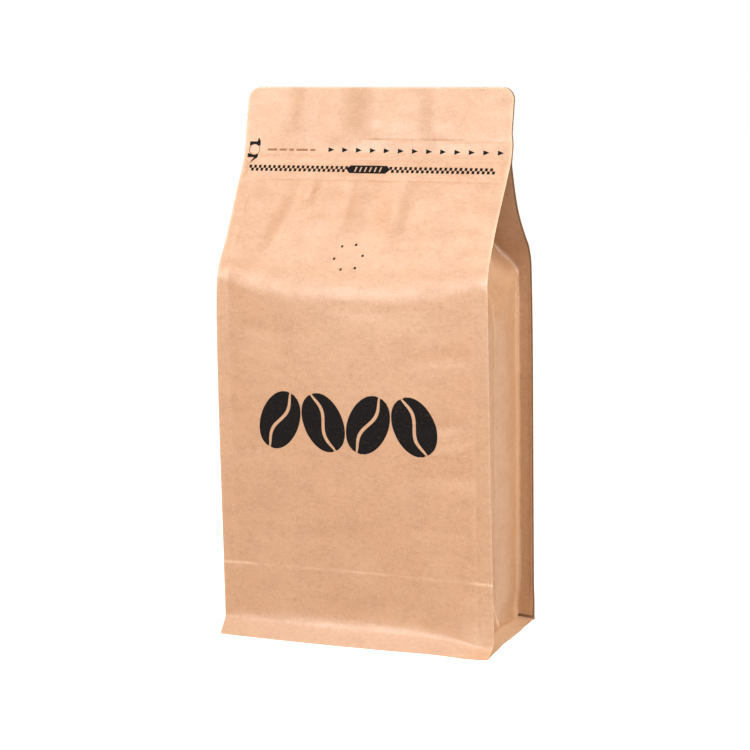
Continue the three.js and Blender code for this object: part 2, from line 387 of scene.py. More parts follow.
def panel_wear(side, x, z):
    """Where a large panel is painted pale, partly as roughened paper and partly as painted
    highlights where edges and ridges catch the light: along its cut edges, more so above the
    shoulder, on the fold across the front and, faintly, on the edges of the side seals."""
    outward = fin_edge(side, z) - np.abs(x)
    wear = (0.12 + 0.2 * ramp(160, 185, z)) * bell(outward, 0.8) + 0.5 * bell(sizes().height - z, 0.4)
    wear += (0.04 if side == FRONT else 0.1) * bell(np.abs(x) - seal_root() + 0.8, 0.6)
    if side == FRONT:
        patches = 0.5 + 0.5 * np.sin(x / 6.1 + 1.3) * np.sin(x / 2.7)
        ends = ramp(-46, -58, x) + ramp(50, 62, x)
        wear += (0.12 * patches + 0.16 * ends) * bell(z - fold_line(x), 0.7)
    return np.clip(wear, 0, 1)


# ---------------------------------------------------------------- meshes from grids

def surface_normals(grid):
    """Unit normals of a grid of points, from the cross product of its two directions."""
    rows, columns = np.gradient(grid, axis=0), np.gradient(grid, axis=1)
    normal = np.cross(columns, rows)
    return normal / np.maximum(np.linalg.norm(normal, axis=-1, keepdims=True), 1e-9)


def grid_faces(rows, columns, start=0, turned=False):
    """Quads of a grid of rows by columns points, numbered row by row from start."""
    index = start + np.arange(rows * columns).reshape(rows, columns)
    quads = np.stack([index[:-1, :-1], index[:-1, 1:], index[1:, 1:], index[1:, :-1]], axis=-1)
    quads = quads.reshape(-1, 4)
    return quads[:, ::-1] if turned else quads


def rim_faces(rows, columns, top, bottom):
    """Quads that join the edges of two grids of the same size."""
    index = np.arange(rows * columns).reshape(rows, columns)
    loop = np.concatenate([index[0, :-1], index[:-1, -1], index[-1, :0:-1], index[:0:-1, 0]])
    following = np.roll(loop, -1)
    return np.stack([top + loop, bottom + loop, bottom + following, top + following], axis=-1)


def in_scene(name, data):
    """A new object for a mesh, a light or a camera, linked to the scene."""
    made = bpy.data.objects.new(name, data)
    bpy.context.scene.collection.objects.link(made)
    return made


# Order of the materials on a paper sheet.
OUTER, INNER, CUT = 0, 1, 2


class Sheets:
    """Closed thin sheets gathered into one mesh, with the pale mix of wear and painted highlights at each of
    their points.
    """

    def __init__(self):
        self.points, self.quads, self.faces, self.wear, self.count = [], [], [], [], 0

    def add(self, grid, thickness, lift=0.0, wear=0.0):
        """One sheet: the grid lifted along its normals, the same grid sunk by the thickness, and
        a rim between them. The grid's normals point out of the top face."""
        rows, columns = grid.shape[:2]
        normal = surface_normals(grid)
        layer = rows * columns
        self.points += [(grid + normal * lift).reshape(-1, 3),
                        (grid + normal * (lift - thickness)).reshape(-1, 3)]
        sides = [grid_faces(rows, columns), grid_faces(rows, columns, layer, turned=True)]
        rim = rim_faces(rows, columns, 0, layer)
        self.quads += [faces + self.count for faces in (*sides, rim)]
        self.faces += [np.full(len(part), i) for i, part in zip((OUTER, INNER, CUT), (*sides, rim))]
        self.wear += [np.broadcast_to(wear, (rows, columns)).reshape(-1)] * 2
        self.count += 2 * layer

    def put(self, name, materials):
        """A named piece from the sheets: it rides on the body and keeps its place in its mesh.
        The materials are those of the outer faces, the inner faces and the cut edges, or one."""
        points, quads = np.concatenate(self.points), np.concatenate(self.quads)
        mesh = bpy.data.meshes.new(name)
        mesh.vertices.add(len(points))
        mesh.vertices.foreach_set("co", (points * MM).astype(np.float32).ravel())
        mesh.loops.add(quads.size)
        mesh.loops.foreach_set("vertex_index", quads.astype(np.int32).ravel())
        mesh.polygons.add(len(quads))
        mesh.polygons.foreach_set("loop_start", np.arange(0, quads.size, 4, dtype=np.int32))
        for material in materials:
            mesh.materials.append(material)
        if len(materials) > 1:
            mesh.polygons.foreach_set("material_index", np.concatenate(self.faces).astype(np.int32))
        mesh.polygons.foreach_set("use_smooth", np.ones(len(quads), bool))
        mesh.update(calc_edges=True)
        # Point attribute that the kraft mixes towards its pale tone: partly wear, partly painted highlights.
        wear = mesh.attributes.new("wear", "FLOAT", "POINT")
        wear.data.foreach_set("value", np.concatenate(self.wear).astype(np.float32))
        mesh.validate()
        mesh.set_sharp_from_angle(angle=math.radians(50))
        piece = in_scene(name, mesh)
        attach(piece, "root")
        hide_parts(NODE)
        return piece


def graded(stops):
    """Places for a grid: between one stop and the next, steps of about the size given."""
    parts = [np.linspace(a, b, max(1, round(abs(b - a) / step)), endpoint=False)
             for (a, step), (b, _) in zip(stops, stops[1:])]
    return np.concatenate(parts + [[stops[-1][0]]])


# ---------------------------------------------------------------- materials

def add_node(tree, kind, inputs=(), **settings):
    """Adds one node: settings are its own properties, and inputs are sockets to link or numbers
    to set, by name or place."""
    node = tree.nodes.new(kind)
    for key, value in settings.items():
        setattr(node, key, value)
    for key, value in dict(inputs).items():
        if isinstance(value, bpy.types.NodeSocket):
            tree.links.new(value, node.inputs[key])
        else:
            node.inputs[key].default_value = value
    return node


def new_material(name):
    """A material with its node tree and its shader."""
    material = bpy.data.materials.new(name)
    material.use_nodes = True
    return material, material.node_tree, material.node_tree.nodes["Principled BSDF"]


def kraft_paper(name, base):
    """Unbleached kraft paper, machine made. The eye sees a warm tan with cloudy formation, short
    paler and darker fibres that lie both ways, pale roughened folds, and a dull haze of gloss
    where the light comes in low. The pale tone is also painted on as highlights where folds,
    ridges and the foot flange catch the light. Fibres are drawn coarser than the real 0.05 mm,
    to show."""
    finish = bpy.context.scene.bag_finish
    material, tree, shader = new_material(name)
    place = add_node(tree, "ShaderNodeTexCoord").outputs["Object"]
    pale, dark = tuple(finish.pale_fibre), tuple(finish.dark_fibre)
    # size in mm, how far it is drawn out along x, y and z, detail, colour, where the noise
    # starts to show and shows fully, and how much of the colour it brings in
    layers = {
        "formation": (24.0, (1, 1, 1), 3.0, pale, 0.42, 0.70, 0.30),
        "clouds": (7.0, (1.6, 1.6, 1), 3.0, dark, 0.46, 0.74, 0.30),
        "mottle": (2.2, (1.3, 1.3, 1), 2.0, dark, 0.48, 0.74, 0.38),
        "grain": (0.9, (1, 1, 1), 2.0, pale, 0.50, 0.76, 0.55),
        "fibres_up": (0.5, (1, 1, 5), 1.0, dark, 0.58, 0.76, 0.40),
        "fibres_across": (0.5, (6, 6, 1), 1.0, pale, 0.58, 0.76, 0.40),
    }
    colour, noise = base, {}
    for key, (size, drawn, detail, tone, low, high, amount) in layers.items():
        scale = tuple(1 / (size * MM * out) for out in drawn)
        mapped = add_node(tree, "ShaderNodeMapping", {"Vector": place, "Scale": scale})
        noise[key] = add_node(tree, "ShaderNodeTexNoise", {
            "Vector": mapped.outputs[0], "Scale": 1.0, "Detail": detail, "Roughness": 0.55}).outputs[0]
        mask = add_node(tree, "ShaderNodeMapRange", {
            "Value": noise[key], "From Min": low, "From Max": high, "To Max": amount})
        colour = add_node(tree, "ShaderNodeMix", {0: mask.outputs[0], 6: colour, 7: tone},
                          data_type="RGBA").outputs[2]
    # The point attribute mixes in the pale tone: worn paper, and painted highlights on lit folds, ridges and
    # the foot flange.
    wear = add_node(tree, "ShaderNodeAttribute", attribute_name="wear").outputs["Fac"]
    colour = add_node(tree, "ShaderNodeMix", {0: wear, 6: colour, 7: tuple(finish.worn_fold_and_highlight)},
                      data_type="RGBA").outputs[2]
    tree.links.new(colour, shader.inputs["Base Color"])
    rough = add_node(tree, "ShaderNodeMapRange", {
        "Value": noise["clouds"], "From Min": 0.3, "From Max": 0.7, "To Min": 0.36, "To Max": 0.46})
    tree.links.new(rough.outputs[0], shader.inputs["Roughness"])
    shader.inputs["Specular IOR Level"].default_value = 0.87
    below = {}
    for key, strength, height in (("clouds", 0.4, 0.5), ("mottle", 0.35, 0.12), ("grain", 0.3, 0.05)):
        bump = add_node(tree, "ShaderNodeBump", {
            "Height": noise[key], "Strength": strength, "Distance": height * MM, **below})
        below = {"Normal": bump.outputs[0]}
    tree.links.new(below["Normal"], shader.inputs["Normal"])
    return material


def printed_ink(name):
    """Water-based ink that has sunk into the kraft. The eye sees a flat warm black that the
    paper's grain breaks up a little, with hardly any gloss; where little ink was laid on it
    looks brown."""
    finish = bpy.context.scene.bag_finish
    full = tuple(finish.thin_ink if name == "thin_brown_ink" else finish.ink)
    material, tree, shader = new_material(name)
    place = add_node(tree, "ShaderNodeTexCoord").outputs["Object"]
    scale = (1 / (0.9 * MM),) * 3
    mapped = add_node(tree, "ShaderNodeMapping", {"Vector": place, "Scale": scale})
    grain = add_node(tree, "ShaderNodeTexNoise", {
        "Vector": mapped.outputs[0], "Scale": 1.0, "Detail": 2.0}).outputs[0]
    thin = add_node(tree, "ShaderNodeMapRange", {
        "Value": grain, "From Min": 0.60, "From Max": 0.85, "To Max": 0.12})
    colour = add_node(tree, "ShaderNodeMix", {
        0: thin.outputs[0], 6: full, 7: tuple(finish.kraft)}, data_type="RGBA")
    tree.links.new(colour.outputs[2], shader.inputs["Base Color"])
    shader.inputs["Roughness"].default_value = 0.7
    shader.inputs["Specular IOR Level"].default_value = 0.12
    fine = add_node(tree, "ShaderNodeBump", {"Height": grain, "Strength": 0.3, "Distance": 0.05 * MM})
    tree.links.new(fine.outputs[0], shader.inputs["Normal"])
    return material


def film_lining():
    """Barrier film laminated to the inside of the kraft. The eye sees it only in the pinholes
    and where a back fin stands past the gusset, as a dull grey-brown line with a slight sheen."""
    material, tree, shader = new_material("barrier_film_lining")
    place = add_node(tree, "ShaderNodeTexCoord").outputs["Object"]
    mapped = add_node(tree, "ShaderNodeMapping", {"Vector": place, "Scale": (1 / (3 * MM),) * 3})
    cloud = add_node(tree, "ShaderNodeTexNoise", {
        "Vector": mapped.outputs[0], "Scale": 1.0, "Detail": 2.0}).outputs[0]
    tone = add_node(tree, "ShaderNodeMix", {
        0: cloud, 6: linear("#7A5A40"), 7: linear("#876A50")}, data_type="RGBA")
    tree.links.new(tone.outputs[2], shader.inputs["Base Color"])
    shader.inputs["Roughness"].default_value = 0.45
    shader.inputs["Specular IOR Level"].default_value = 0.25
    fine = add_node(tree, "ShaderNodeBump", {"Height": cloud, "Strength": 0.2, "Distance": 0.05 * MM})
    tree.links.new(fine.outputs[0], shader.inputs["Normal"])
    return material


def paper_materials():
    """The kraft's face, its film lining and its cut edge, made once for every panel."""
    finish = bpy.context.scene.bag_finish
    known = bpy.data.materials
    return (known.get("kraft_paper_face") or kraft_paper("kraft_paper_face", tuple(finish.kraft)),
            known.get("barrier_film_lining") or film_lining(),
            known.get("kraft_paper_cut_edge") or kraft_paper("kraft_paper_cut_edge", linear("#A08468")))


# ---------------------------------------------------------------- panels

def panel_rows():
    """Grid heights of the large panels: close together at the seal, the crease, the shoulder
    and the pressed lines."""
    top = sizes().height
    return graded(((0, 0.7), (9, 1.4), (31, 0.35), (37, 1.5), (165, 0.9), (190, 1.2), (216, 0.4),
                   (229, 0.8), (234.5, 0.4), (238, 0.9), (top - 6.5, 0.45), (top - 0.4, 0.2), (top, 1)))


def large_panel(name, side, step):
    """Front or back panel: across from fin to fin and up from the ground to the top edge. A
    column keeps its share of the width, so the top corners draw the columns in."""
    half = sizes().width / 2
    columns = graded(((-half, 0.45), (1.5 - half, 0.8), (9.5 - half, step), (half - 9.5, 0.8),
                      (half - 1.5, 0.45), (half, 1)))
    z = panel_rows()[:, None]
    x = fin_edge(side, z) * (columns[None, :] / half)
    grid = panel_surface(side, x, z)
    wear = panel_wear(side, x, z)
    if side == BACK:
        grid, wear = grid[:, ::-1], wear[:, ::-1]
    sheets = Sheets()
    sheets.add(grid, sizes().paper, wear=wear)
    return sheets.put(name, paper_materials())


def gusset_root(across, z):
    """How far out the gusset's edge lies. The back one wanders: it draws in over the foot and
    towards the shoulder."""
    wander = 0.25 - 1.3 * bell(z - 7, 8) - 0.7 * ramp(100, 140, z) - 0.4 * ramp(160, 173, z)
    return seal_root() + wander * ramp(4, 30, across)


def gable_share(across, z):
    """How far the gusset's triangle has turned in, from 0 to 1. It starts at the shoulder at the
    back and a third of a millimetre lower for each millimetre of paper towards the front."""
    s = sizes()
    height = z - s.shoulder + 0.33 * (s.gusset_half - across)
    return np.clip(soft_max(0.0, s.gable_slope * height / s.gable_reach, 0.06), 0, 1)


def gusset_x(across, z):
    """How far out the gusset's paper lies. The paper hardly stretches: above the shoulder the
    gusset turns in by the lesser of the triangle's share and the place's share of its half
    width, which folds a slanting side triangle and two flanks that lie against the roof panels.
    Below it the wall is a little hollow on both sides of a middle fold and rises to its back
    root."""
    s = sizes()
    out = np.abs(across)
    root = gusset_root(across, z)
    above = gable_share(across, z)
    share = np.clip(1 - out / s.gusset_half, 0, 1)
    inward = s.gable_reach * np.clip(soft_min(above, share, 0.04), 0, 1)
    low = 1 - ramp(s.shoulder - 18, s.shoulder + 6, z)
    swell = 0.35 * np.sin(np.pi * share) ** 2 - 0.9 * share ** 3 - 0.4 * bell(out, 1.2)
    swell = swell - 0.7 * ramp(s.gusset_half, s.gusset_half - 7, across)
    on_fin = np.clip(out - s.gusset_half, 0, None) / s.fin
    edge = np.where(across < 0, fin_edge(FRONT, z) - 0.2, fin_edge(BACK, z) - 1.0)
    hollow = dents(GUSSET_HOLLOWS, across, z)
    for start, end, half, rise in GUSSET_CREASES:
        hollow = hollow - rise * crease_line(across, z, start, end, half)
    start, end, lean = GUSSET_RIDGE
    over, along = over_line(across, z, start, end)
    near = ramp(-4, 4, along) * ramp(48, 30, along) * ramp(26, 12, over)
    hollow = hollow + lean * soft_max(0.0, soft_min(over, 7.0, 6.0), 0.8) * near
    wall = root - inward + swell * low - hollow * ramp(s.gusset_half, s.gusset_half - 4, out)
    return wall * (1 - on_fin) + edge * on_fin


def gusset_surface(side, across, z):
    """Outer face of a gusset, on the right for side 1 and on the left for side -1. across runs
    along its paper from the front fin's edge, below zero, to the back fin's edge. Between the
    roofs the triangle spans from flank to flank, and each flank lies just under its roof panel."""
    s = sizes()
    out = np.abs(across)
    x = side * gusset_x(across, z)
    above = gable_share(across, z)
    span = np.maximum(s.gusset_half * (1 - above), 0.6)
    spread = np.where(out >= s.gusset_half, 1.0, np.clip(soft_min(1.0, out / span, 0.06), 0, 1))
    off_fin = ramp(s.gusset_half, s.gusset_half - 8, out)
    sunk = 2.1 * s.paper + 0.4 * ramp(0, 0.1, above) * off_fin
    front = -(panel_depth(FRONT, x, z) + flare(FRONT, x, z) - sunk)
    back = panel_depth(BACK, x, z) - sunk
    lip = ramp(s.ridge - 3, s.ridge + 1, z)
    middle = (front + back) / 2
    gap = np.clip((back - front) / 2, 0.05, None) * (1 - lip) + 0.2 * lip
    y = middle + np.sign(across) * gap * spread
    return settle(np.stack([x, y, z + 0 * x], axis=-1))


def gusset_wear(across, z):
    """Where the gusset is painted pale, mostly as painted highlights and partly as worn paper: its
    back root, the slanting folds of the triangle and the paper under them, which faces up into the
    light, the sharp creases and the fins' edges."""
    s = sizes()
    out = np.abs(across)
    above = gable_share(across, z)
    fold = bell((1 - out / s.gusset_half - above) * s.gusset_half, 0.6) * (above > 0.04) * (above < 1)
    root = bell(across - s.gusset_half + 2.2, 2.2) * ramp(s.shoulder, s.shoulder - 6, z)
    facet_highlight = turned_bell(across, z, (10, 178), 16, 7, 28)
    wear = 0.12 * fold + 0.22 * root + 0.25 * facet_highlight + 0.1 * bell(out - s.gusset_half - s.fin, 0.5)
    for start, end, half, _ in GUSSET_CREASES:
        wear = wear + 0.55 * crease_line(across, z, start, end, half)
    return np.clip(wear, 0, 1)


def side_flange(side):
    """The sealed strip at the gusset's foot: it slopes out from under the wall down to the
    ground and reaches from the front seal to the back seal."""
    s = sizes()
    root = seal_root()
    share = graded(((-1, 0.04), (1, 1)))[None, :]
    x = root - 3 + (half_width(0) - 0.1 - root + 3) * np.linspace(1, 0, 16)[:, None] + 0 * share
    rise = 3.2 - 2.2 * ramp(0.0, 0.95, share)
    z = 0.4 + rise * (1 - np.clip((x - root) / (s.fin + 0.6), 0, 1))
    z = z + 0.12 * np.sin(share * 14) * ramp(root + 2, root + 6, x)
    x = side * x
    front = -(panel_depth(FRONT, x, z) + flare(FRONT, x, z) - 1.1 * s.paper)
    back = panel_depth(BACK, x, z) + flare(BACK, x, z) - 1.1 * s.paper
    return settle(np.stack([x, front + (back - front) * (share + 1) / 2, z], axis=-1))


def side_gusset(name, side):
    """One side gusset with its two fins and the flange at its foot. The back fin stops short of
    the flange, which leaves a narrow slot."""
    s = sizes()
    half = s.gusset_half
    edge = half + s.fin
    across = graded(((-edge, 0.5), (1 - edge, 1.0), (-half - 0.5, 0.5), (1 - half, 1.2), (-22, 0.8),
                     (-4, 0.5), (4, 0.9), (30, 0.6), (half + 0.5, 1.0), (edge - 1, 0.5), (edge, 1)))[None, :]
    rows = graded(((0, 0.6), (6, 1.3), (140, 0.8), (228, 1.5), (s.height - 0.5, 1)))[:, None]
    on_fin = np.clip((np.abs(across) - half) / s.fin, 0, 1)
    ends = np.where(across > half, 2.9 - 0.7 * on_fin, 0.8 - 0.4 * on_fin)
    z = np.maximum(rows + ends * (1 - ramp(0, 14, rows)), 0.4)
    turned = slice(None, None, side)
    sheets = Sheets()
    sheets.add(gusset_surface(side, across, z)[:, turned], s.paper, wear=gusset_wear(across, z)[:, turned])
    # The foot flange is painted 0.3 of the way to the pale tone: a painted highlight, as it faces up into the
    # light.
    sheets.add(side_flange(side)[:, turned], s.paper, wear=0.3)
    return sheets.put(name, paper_materials())


def foot_panel():
    """Bottom panel: a flat ring sealed to the walls, and inside it a field that stands a little
    off the ground."""
    s = sizes()
    across = np.linspace(-1, 1, 61)[None, :]
    along = np.linspace(-1, 1, 41)[:, None]
    x = (half_width(0) - 0.3) * across + 0 * along
    front = -(panel_depth(FRONT, x, 0.0) + flare(FRONT, x, 0.0) - 0.5)
    back = panel_depth(BACK, x, 0.0) + flare(BACK, x, 0.0) - 0.5
    y = front + (back - front) * (along + 1) / 2
    inside = ramp(1, 0.9, np.abs(across)) * ramp(1, 0.84, np.abs(along))
    crossed = sum(crease_line(x, y, (60 * left, 33 * ahead), (27 * left, 0), 0.8)
                  for ahead in (-1, 1) for left in (-1, 1))
    z = 0.02 + (0.7 - 0.25 * crossed) * inside
    sheets = Sheets()
    sheets.add(settle(np.stack([x, y, z], axis=-1))[:, ::-1], s.paper)
    return sheets.put("foot_panel", paper_materials())


# The ring of pinholes over the valve: its middle across and up, and its radius across and along
# the slope.
VALVE_MIDDLE = (-1.8, 184.0)
VALVE_RING = (6.9, 7.2)
PINHOLES = 6
PINHOLE_RADIUS = 0.65
PIN_SIDES = 12


def prick_pinholes(panel):
    """Cuts the pinholes over the valve through the front paper with round pins: evenly round a
    ring on the sloping front, each square to it."""
    turn = np.radians(np.arange(PINHOLES) * (360 / PINHOLES) + 8)
    upright = math.cos(math.atan(FRONT_ROOF_SLOPE))
    across = VALVE_MIDDLE[0] + VALVE_RING[0] * np.cos(turn)
    height = VALVE_MIDDLE[1] + VALVE_RING[1] * np.sin(turn) * upright
    around = np.linspace(0, 2 * np.pi, PIN_SIDES, endpoint=False)[:, None]
    right = np.array([1.0, 0, 0])
    points, faces = [], []
    for i, (x, z) in enumerate(zip(across, height)):
        grid = panel_surface(FRONT, np.array([[x - 0.5, x + 0.5]] * 2), np.array([[z - 0.5], [z + 0.5]]))
        centre, normal = grid.mean(axis=(0, 1)), surface_normals(grid)[0, 0]
        along = np.cross(normal, right)
        ring = centre + PINHOLE_RADIUS * (np.cos(around) * right + np.sin(around) * along)
        points += [ring + normal * 1.5, ring - normal * 1.5]
        top, bottom = [np.arange(PIN_SIDES) + 2 * PIN_SIDES * i + layer for layer in (0, PIN_SIDES)]
        faces += [top.tolist(), bottom[::-1].tolist()]
        faces += np.stack([np.roll(top, 1), np.roll(bottom, 1), bottom, top], axis=-1).tolist()
    mesh = bpy.data.meshes.new("pins")
    mesh.from_pydata((np.concatenate(points) * MM).tolist(), [], faces)
    pins = in_scene("pins", mesh)
    cut = panel.modifiers.new("pinholes", "BOOLEAN")
    cut.operation, cut.solver, cut.object = "DIFFERENCE", "EXACT", pins
    evaluated = panel.evaluated_get(bpy.context.evaluated_depsgraph_get())
    pierced = bpy.data.meshes.new_from_object(evaluated)
    panel.modifiers.clear()
    panel.data = pierced
    bpy.data.objects.remove(pins)


# ---------------------------------------------------------------- print

# Places across in mm. The plate also has half its length and half its height.
ARROWS_START = -23.8
CHECKS_START = -62.8
PLATE_MIDDLE = -1.95
PLATE_HALF = 10.9
PLATE_TALL = 2.15
SIGN_MIDDLE = -61.8
BEANS_MIDDLE = -1.3
BEAN_PITCH = 22.2
DASH_HEIGHT = 231.5
SIGN_HEIGHT = 231.4
# The dashes beside the pull sign: where each starts across, and its length.
DASHES = ((-55.0, 5.0), (-48.8, 3.8), (-43.8, 2.4), (-40.0, 5.8), (-33.0, 2.6))


def print_piece(name, shapes, ink="flexo_ink_on_kraft"):
    """One piece of ink from many shapes, each a pair of grids (across, along) and a height. A
    shape lies on the front face, measured along the paper from its height: a closed film that is
    sunk into the paper and stands a hair proud of it."""
    z_table = np.linspace(0, sizes().height, int(sizes().height * 10) + 1)
    depth = panel_depth(FRONT, np.full_like(z_table, 55.0), z_table)
    run = np.concatenate([[0], np.cumsum(np.hypot(np.diff(z_table), np.diff(depth)))])
    sheets = Sheets()
    for x, along, height in shapes:
        z = np.interp(np.interp(height, z_table, run) + along, run, z_table)
        sheets.add(panel_surface(FRONT, x, z), 0.12, lift=0.05)
    return sheets.put(name, [bpy.data.materials.get(ink) or printed_ink(ink)])


def block(x0, x1, low, high, lean=0.0, columns=2, rows=2):
    """A printed bar between two places across and two along, its top pushed over by lean."""
    up = np.linspace(0, 1, rows)[:, None]
    x = np.linspace(x0, x1, columns)[None, :] + lean * up
    return x, low + (high - low) * up + 0 * x


def arrow_head(x, length, wide):
    """A triangle pointing right: its two sides close in evenly towards the tip."""
    run = np.linspace(0, 0.97, 4)[None, :]
    up = np.linspace(-0.5, 0.5, 3)[:, None]
    return x + length * run + 0 * up, wide * up * (1 - run)


def bean_half(x, turn, length, side):
    """Half of a coffee bean: between its oval outline and the S-shaped split down its middle."""
    t = np.linspace(-0.985, 0.985, 31)[:, None]
    reach = np.sqrt(1 - t ** 2)
    outline = 0.34 * length * reach ** 0.94
    split = 0.075 * length * np.sin(np.pi * t) * reach
    inner = split + side * 0.85 * reach ** 0.5
    v = np.linspace(0, 1, 7)[None, :]
    left, right = (inner, outline) if side > 0 else (-outline, inner)
    across = left + (np.maximum(right, left + 0.05) - left) * v
    along = 0.5 * length * t + 0 * v
    c, s = math.cos(math.radians(turn)), math.sin(math.radians(turn))
    return x + across * c - along * s, across * s + along * c


def ring_part(centre, radius, thick, start, end):
    """A stretch of a thin ring from one angle to another in degrees."""
    turn = np.radians(np.linspace(start, end, 25))[None, :]
    r = radius + thick * np.linspace(1, 0, 3)[:, None]
    return centre + r * np.cos(turn), r * np.sin(turn)


def zip_print():
    """Marks along the opening: tear arrows and the checked strip, which stops on both sides of
    its plate."""
    p = bpy.context.scene.bag_print
    shapes = [(*arrow_head(ARROWS_START + p.arrow_pitch * i, 3.0, 2.4), p.arrow_height - 0.05 * i)
              for i in range(p.arrows)]
    for i in range(p.checks):
        for row in (0, 1):
            start = CHECKS_START + p.check_pitch * (i + 0.5 * row)
            end = start + p.check_pitch * 0.54
            if end < PLATE_MIDDLE - PLATE_HALF + 1 or start > PLATE_MIDDLE + PLATE_HALF - 1:
                shapes.append((*block(start, end, -1.65 * row, 1.65 - 1.65 * row), p.check_height))
    return shapes


def dash_row():
    """A row of small dashes between the pull sign and the arrows, of the lengths of short words."""
    return [(*block(start, start + length, -0.5, 0.5, columns=5), DASH_HEIGHT) for start, length in DASHES]


def zip_plate():
    """The dark plate in the middle of the checked strip: pointed ends, with slanting bars left
    bare in it."""
    height = bpy.context.scene.bag_print.check_height
    centre, half, tall = PLATE_MIDDLE, PLATE_HALF, PLATE_TALL
    up = np.linspace(-1, 1, 5)[:, None]
    pointed = 1.8 * np.abs(up)
    bars = np.linspace(-6.2, 6.2, 6)
    edges = np.concatenate([[-half], np.stack([bars - 0.35, bars + 0.35], axis=1).ravel(), [half]])
    shapes = []
    for i in range(0, len(edges), 2):
        start = edges[i] + (pointed if i == 0 else 0.4 * up)
        end = edges[i + 1] + (-pointed if i == len(edges) - 2 else 0.4 * up)
        v = np.linspace(0, 1, 4)[None, :]
        shapes.append((centre + start + (end - start) * v, tall * up + 0 * v, height))
    for low, high in ((-1, -0.62), (0.62, 1)):
        shapes.append((*block(centre - 6.8, centre + 6.8, low * tall, high * tall, columns=16), height))
    return shapes


def pull_sign():
    """The round sign that shows where to pull: a thin ring between two dark bars. The upper bar
    ends in a spike at the right, and a wedge points down and inwards from the lower one."""
    centre, height = SIGN_MIDDLE, SIGN_HEIGHT
    shapes = [(*ring_part(centre, 2.55, 0.25, start, start + 180), height) for start in (0, 180)]
    v = np.linspace(0, 1, 6)[:, None]
    u = np.linspace(0, 1, 7)[None, :]
    for turn, start, end in ((1, -2.6, 2.9), (-1, -3.3, 2.0)):
        over = start + (end - start) * u
        arch = np.sqrt(np.clip(2.75 ** 2 - over ** 2, 1.9 ** 2, None))
        low, high = (arch, 3.9) if turn > 0 else (-3.9, -arch)
        shapes.append((centre + over + 0 * v, low + (high - low) * v, height))
    shapes.append((centre + 1.2 + 0.6 * v + 1.7 * u * (1 - 0.96 * v), 3.85 + 2.1 * v + 0 * u, height))
    shapes.append((centre - 1.5 + 1.7 * v + 1.8 * u * (0.04 + 0.96 * v), -6.9 + 3.1 * v + 0 * u, height))
    return shapes


def bean_row():
    """A row of coffee beans across the front, each leaning the other way from the last."""
    p = bpy.context.scene.bag_print
    shapes = []
    for i in range(p.beans):
        x = BEANS_MIDDLE + (i - (p.beans - 1) / 2) * BEAN_PITCH
        for side in (-1, 1):
            shapes.append((*bean_half(x, 24 if i % 2 else -24, p.bean_length, side), p.bean_height))
    return shapes


# ---------------------------------------------------------------- studio

# Softboxes: azimuth and elevation seen from the bag, distance, width, height and watts.
SOFTBOXES = {
    "front_softbox": (-20, 18, 2.0, 1.0, 0.8, 21.5),
    "key_softbox": (-32, 57, 1.9, 0.9, 0.9, 16),
    "left_softbox": (-60, 25, 2.0, 1.0, 1.0, 7.5),
    "right_softbox": (20, 30, 2.0, 0.9, 0.9, 19),
    "low_softbox": (-10, 7, 2.0, 1.0, 0.4, 6),
    "side_softbox": (80, 15, 2.0, 1.4, 1.1, 35),
    "high_side_softbox": (95, 50, 2.0, 1.3, 1.3, 27),
}
# How strongly the floor glows at the bag. The camera sees it at full white.
FLOOR_GLOW = 0.45


def studio_floor():
    """A pale floor: a wide disc, fine near the bag. The camera sees it lit up to white, as lit
    acrylic is, and it throws only a little light back at the bag."""
    radius = np.concatenate([[0.001], np.geomspace(0.2, 40, 24)])[:, None]
    turn = np.linspace(0, 2 * np.pi, 49)[None, :]
    grid = np.stack([radius * np.cos(turn), radius * np.sin(turn), 0 * radius * turn], axis=-1)
    mesh = bpy.data.meshes.new("studio_floor")
    faces = grid_faces(*grid.shape[:2], turned=True)
    mesh.from_pydata(grid.reshape(-1, 3).tolist(), [], faces.tolist())
    floor = in_scene("studio_floor", mesh)
    material, tree, shader = new_material("lit_white_acrylic")
    seen = add_node(tree, "ShaderNodeLightPath").outputs["Is Camera Ray"]
    glow = add_node(tree, "ShaderNodeMapRange", {"Value": seen, "To Min": FLOOR_GLOW, "To Max": 1.0})
    shader.inputs["Base Color"].default_value = linear("#959595")
    shader.inputs["Roughness"].default_value = 0.9
    shader.inputs["Emission Color"].default_value = linear("#FFFFFF")
    tree.links.new(glow.outputs[0], shader.inputs["Emission Strength"])
    mesh.materials.append(material)


def studio_air():
    """White all round for the camera, and a faint fill for the bag."""
    world = bpy.data.worlds.new("studio_air")
    world.use_nodes = True
    tree = world.node_tree
    seen = add_node(tree, "ShaderNodeLightPath").outputs["Is Camera Ray"]
    strength = add_node(tree, "ShaderNodeMapRange", {"Value": seen, "To Min": 0.02, "To Max": 1.0})
    back = tree.nodes["Background"]
    back.inputs["Color"].default_value = linear("#FFFFFF")
    tree.links.new(strength.outputs[0], back.inputs["Strength"])
    bpy.context.scene.world = world


def direction(azimuth, elevation):
    """Unit vector away from the bag. Azimuth turns from the front towards the right."""
    level = math.cos(elevation)
    return Vector((math.sin(azimuth) * level, -math.cos(azimuth) * level, math.sin(elevation)))


def soft_light(name, azimuth, elevation, distance, wide, tall, watts):
    """A softbox: a rectangle at an azimuth and elevation seen from the bag, facing it."""
    away = direction(math.radians(azimuth), math.radians(elevation))
    data = bpy.data.lights.new(name, "AREA")
    data.shape, data.size, data.size_y, data.energy = "RECTANGLE", wide, tall, watts
    light = in_scene(name, data)
    light.location = Vector((0, 0, 0.13)) + away * distance
    light.rotation_euler = away.to_track_quat("Z", "Y").to_euler()


